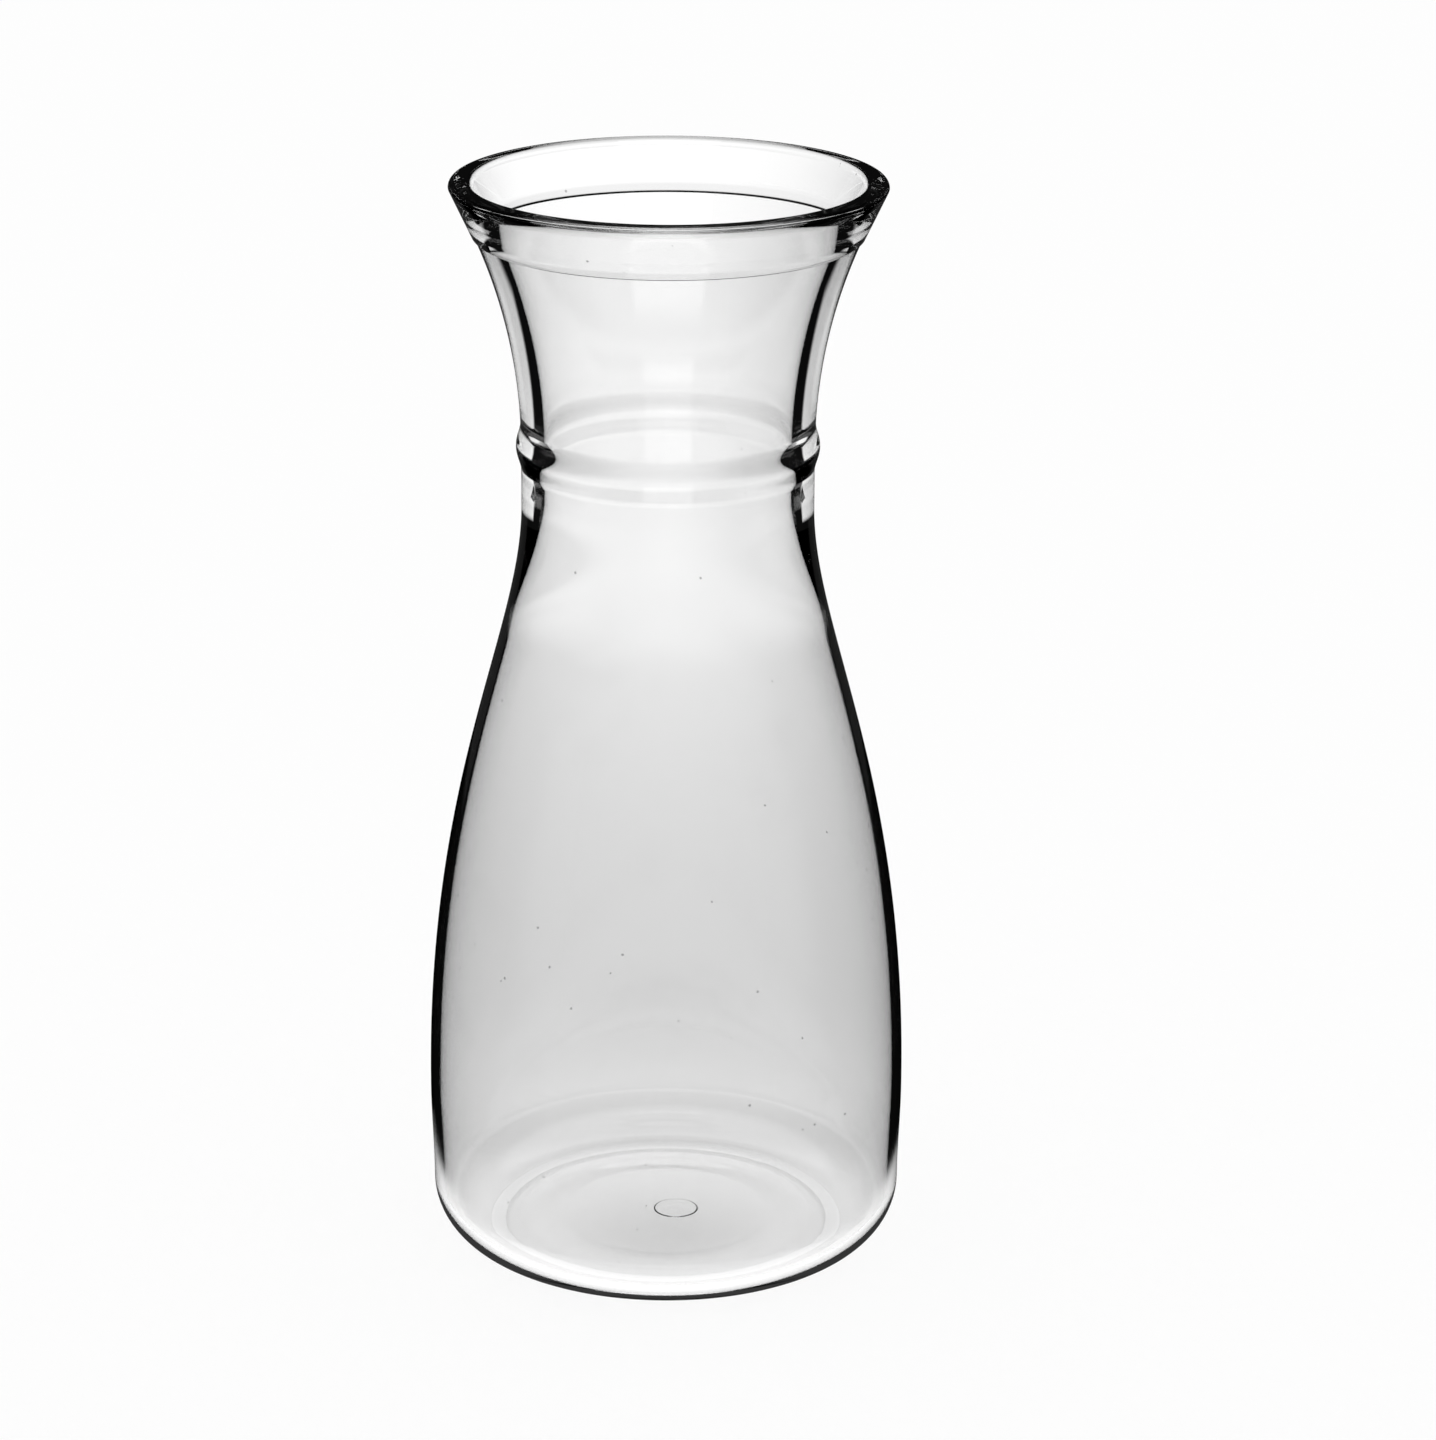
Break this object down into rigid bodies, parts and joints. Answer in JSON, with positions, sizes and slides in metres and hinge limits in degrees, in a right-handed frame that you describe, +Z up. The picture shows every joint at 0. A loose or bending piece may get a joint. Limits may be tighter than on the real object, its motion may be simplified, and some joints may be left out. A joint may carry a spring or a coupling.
{
  "type": "water carafe",
  "caption": "Clear water carafe with a rounded lip, flared neck, ringed throat and bottle-shaped body on a pushed-up base, for serving drinks.",
  "frame": {"origin": "on the table at the axis of the carafe, in the plane of the foot ring", "axes": "+Z up along the axis of the carafe, through the middle of the mouth"},
  "size_m": [0.1016, 0.1016, 0.231],
  "materials": {
    "clear_wall": "clear, polished",
    "clear_rim": "clear, polished, thick",
    "clear_base": "clear, lightly marked"
  },
  "bodies": {
    "root": {"rim_ring": "clear_rim", "neck_funnel": "clear_wall", "neck_collar": "clear_rim", "body_shell": "clear_wall", "base_disc": "clear_base", "gate_plug": "clear_base"}
  },
  "joints": []
}
